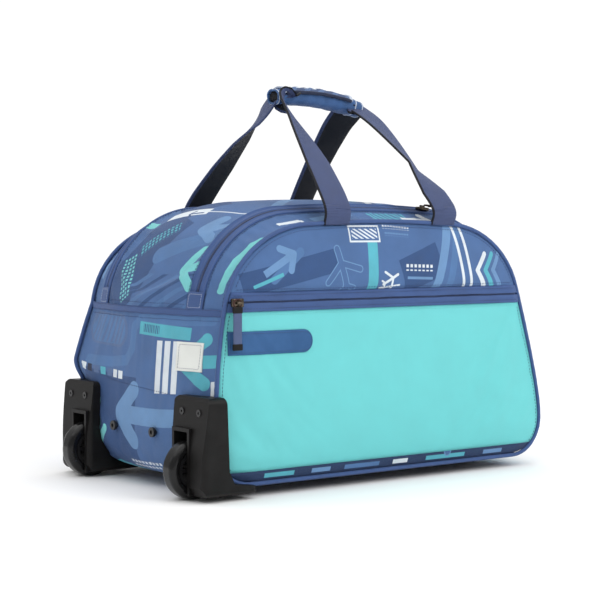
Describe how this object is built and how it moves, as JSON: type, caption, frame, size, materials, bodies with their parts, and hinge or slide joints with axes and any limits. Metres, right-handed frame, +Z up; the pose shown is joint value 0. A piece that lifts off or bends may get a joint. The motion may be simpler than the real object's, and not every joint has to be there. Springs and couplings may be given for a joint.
{
  "type": "rolling duffel bag",
  "caption": "Soft zipped duffel bag on two end wheels, with a telescoping tow handle along its bottom and two webbing carry straps joined by a wrapped grip.",
  "frame": {"origin": "on the floor, under the centre of the whole bag", "axes": "+X from the wheel end to the tow-handle end, +Y from the front pocket to the rear, +Z up"},
  "size_m": [0.529, 0.304, 0.4527],
  "materials": {
    "print_fabric": "matte printed polyester",
    "teal_fabric": "matte coated polyester",
    "slate_fabric": "woven tape and piping",
    "dark_fabric": "matte dark polyester",
    "webbing": "ribbed woven webbing",
    "label": "woven satin label",
    "badge": "smooth moulded rubber",
    "black_plastic": "fine moulded texture",
    "grey_plastic": "satin moulded",
    "tyre_rubber": "glossy black",
    "board": "plain extruded board",
    "tube_metal": "anodised drawn tube",
    "steel": "zinc plated",
    "zip_metal": "black painted zinc"
  },
  "bodies": {
    "bag": {"front_wall": "dark_fabric", "front_upper_panel": "print_fabric", "pocket_zip": "slate_fabric", "front_pocket_panel": "teal_fabric", "front_bottom_strip": "dark_fabric", "rear_panel": "print_fabric", "front_gusset_strip": "print_fabric", "front_main_zip": "slate_fabric", "top_centre_panel": "print_fabric", "rear_main_zip": "slate_fabric", "rear_gusset_strip": "print_fabric", "wheel_end_panel": "print_fabric", "handle_end_panel": "print_fabric", "bottom_panel": "dark_fabric", "front_piping": "slate_fabric", "rear_piping": "slate_fabric", "wheel_end_binding": "slate_fabric", "handle_end_binding": "slate_fabric", "zip_garages": "slate_fabric", "pocket_badge": "badge", "side_label": "label", "base_board": "board", "floor_pad": "dark_fabric", "skid_feet": "black_plastic", "wheel_housing_front": "black_plastic", "wheel_housing_rear": "black_plastic", "housing_screws": "steel", "axle_front": "steel", "axle_rear": "steel", "tow_bracket": "black_plastic", "bracket_bolts": "black_plastic", "tow_dock": "black_plastic", "outer_tube_front": "tube_metal", "outer_tube_rear": "tube_metal", "front_strap_roots": "webbing", "rear_strap_roots": "webbing"},
    "wheel_front": {"hub_front": "grey_plastic", "tyre_front": "tyre_rubber"},
    "wheel_rear": {"hub_rear": "grey_plastic", "tyre_rear": "tyre_rubber"},
    "tow_middle": {"middle_tube_front": "tube_metal", "middle_tube_rear": "tube_metal", "middle_collars": "black_plastic"},
    "tow_top": {"inner_tube_front": "tube_metal", "inner_tube_rear": "tube_metal", "inner_tube_plugs": "black_plastic", "tow_grip": "black_plastic", "button_spring": "steel"},
    "release": {"release_button": "grey_plastic", "release_yoke": "steel"},
    "pocket_slider": {"pocket_slider": "zip_metal"},
    "pocket_pull": {"pocket_pull": "zip_metal"},
    "front_slider": {"front_slider": "zip_metal"},
    "front_pull": {"front_pull": "zip_metal"},
    "rear_slider": {"rear_slider": "zip_metal"},
    "rear_pull": {"rear_pull": "zip_metal"},
    "carry_handle": {"rear_strap": "webbing", "front_strap": "webbing", "grip_wrap": "print_fabric"},
    "wrap_flap": {"wrap_flap": "print_fabric"}
  },
  "joints": [
    {"name": "wheel_front_spin", "type": "hinge", "parent": "bag", "child": "wheel_front", "pos_m": [-0.2325, -0.108, 0.032], "axis": [0, 1, 0], "continuous": true},
    {"name": "wheel_rear_spin", "type": "hinge", "parent": "bag", "child": "wheel_rear", "pos_m": [-0.2325, 0.108, 0.032], "axis": [0, 1, 0], "continuous": true},
    {"name": "tow_lower_stage", "type": "slide", "parent": "bag", "child": "tow_middle", "axis": [1, 0, 0], "range_m": [0, 0.37]},
    {"name": "tow_upper_stage", "type": "slide", "parent": "tow_middle", "child": "tow_top", "axis": [1, 0, 0], "range_m": [0, 0.37]},
    {"name": "release_press", "type": "slide", "parent": "tow_top", "child": "release", "axis": [-1, 0, 0], "range_m": [0, 0.003], "stiffness_N_per_m": 400, "springref_m": -0.002, "deforming": ["button_spring"]},
    {"name": "pocket_zip_slide", "type": "slide", "parent": "bag", "child": "pocket_slider", "axis": [1, 0, 0], "range_m": [0, 0.39]},
    {"name": "pocket_pull_swing", "type": "hinge", "parent": "pocket_slider", "child": "pocket_pull", "pos_m": [-0.1985, -0.149, 0.20875], "axis": [0, -1, 0], "range_deg": [-40, 90]},
    {"name": "front_zip_run", "type": "hinge", "parent": "bag", "child": "front_slider", "pos_m": [0.004, -0.094, -1.28951], "axis": [0, -1, 0], "range_deg": [0, 6.7]},
    {"name": "front_pull_lift", "type": "hinge", "parent": "front_slider", "child": "front_pull", "pos_m": [0.10589, -0.09607, 0.31341], "axis": [0, -0.9436, -0.331], "range_deg": [0, 85]},
    {"name": "rear_zip_run", "type": "hinge", "parent": "bag", "child": "rear_slider", "pos_m": [0.004, 0.094, -1.28951], "axis": [0, -1, 0], "range_deg": [0, 6.7]},
    {"name": "rear_pull_lift", "type": "hinge", "parent": "rear_slider", "child": "rear_pull", "pos_m": [0.10589, 0.09607, 0.31341], "axis": [0, -0.9436, 0.331], "range_deg": [0, 85]},
    {"name": "carry_fold", "type": "hinge", "parent": "bag", "child": "carry_handle", "pos_m": [0.017, 0.1362, 0.312], "axis": [1, 0, 0], "range_deg": [0, 30], "deforming": ["front_strap"]},
    {"name": "flap_lift", "type": "hinge", "parent": "carry_handle", "child": "wrap_flap", "pos_m": [0.017, 0.011, 0.4503], "axis": [-1, 0, 0], "range_deg": [0, 140]}
  ]
}
